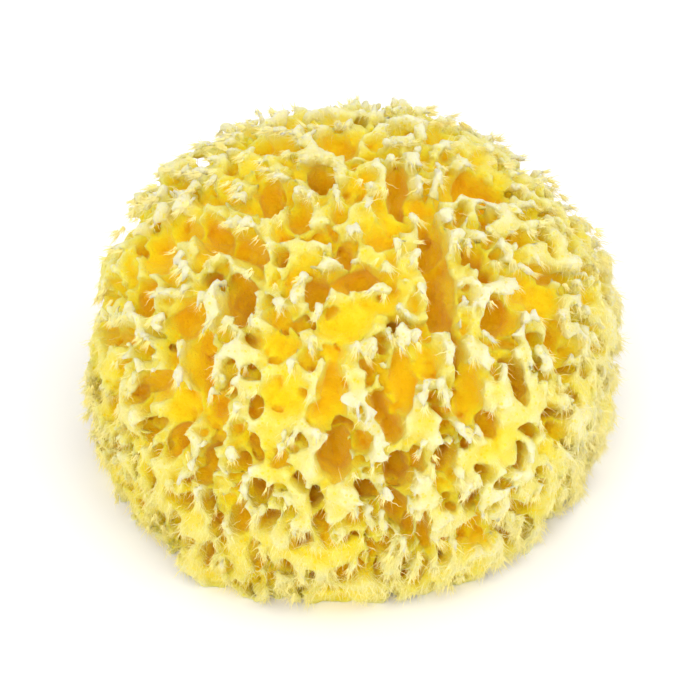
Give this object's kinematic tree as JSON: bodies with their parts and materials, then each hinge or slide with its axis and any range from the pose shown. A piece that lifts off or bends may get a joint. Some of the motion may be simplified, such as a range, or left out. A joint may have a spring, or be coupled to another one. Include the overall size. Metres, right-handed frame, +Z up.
{
  "type": "natural sea sponge",
  "caption": "Natural bath sponge: a rounded, deeply pitted dome of soft yellow fibre with ragged crests, cut flat underneath where it grew.",
  "frame": {"origin": "middle of the bounding box at the flat cut underneath", "axes": "+Z up out of the flat cut, +X to the right of the side with the mapped hollows, which faces -Y"},
  "size_m": [0.1392, 0.1386, 0.0951],
  "materials": {
    "sponge_fibre": "dry, matte, felted fibre, pale cream on the crests and amber in the hollows"
  },
  "bodies": {
    "root": {"sponge": "sponge_fibre"}
  },
  "joints": []
}
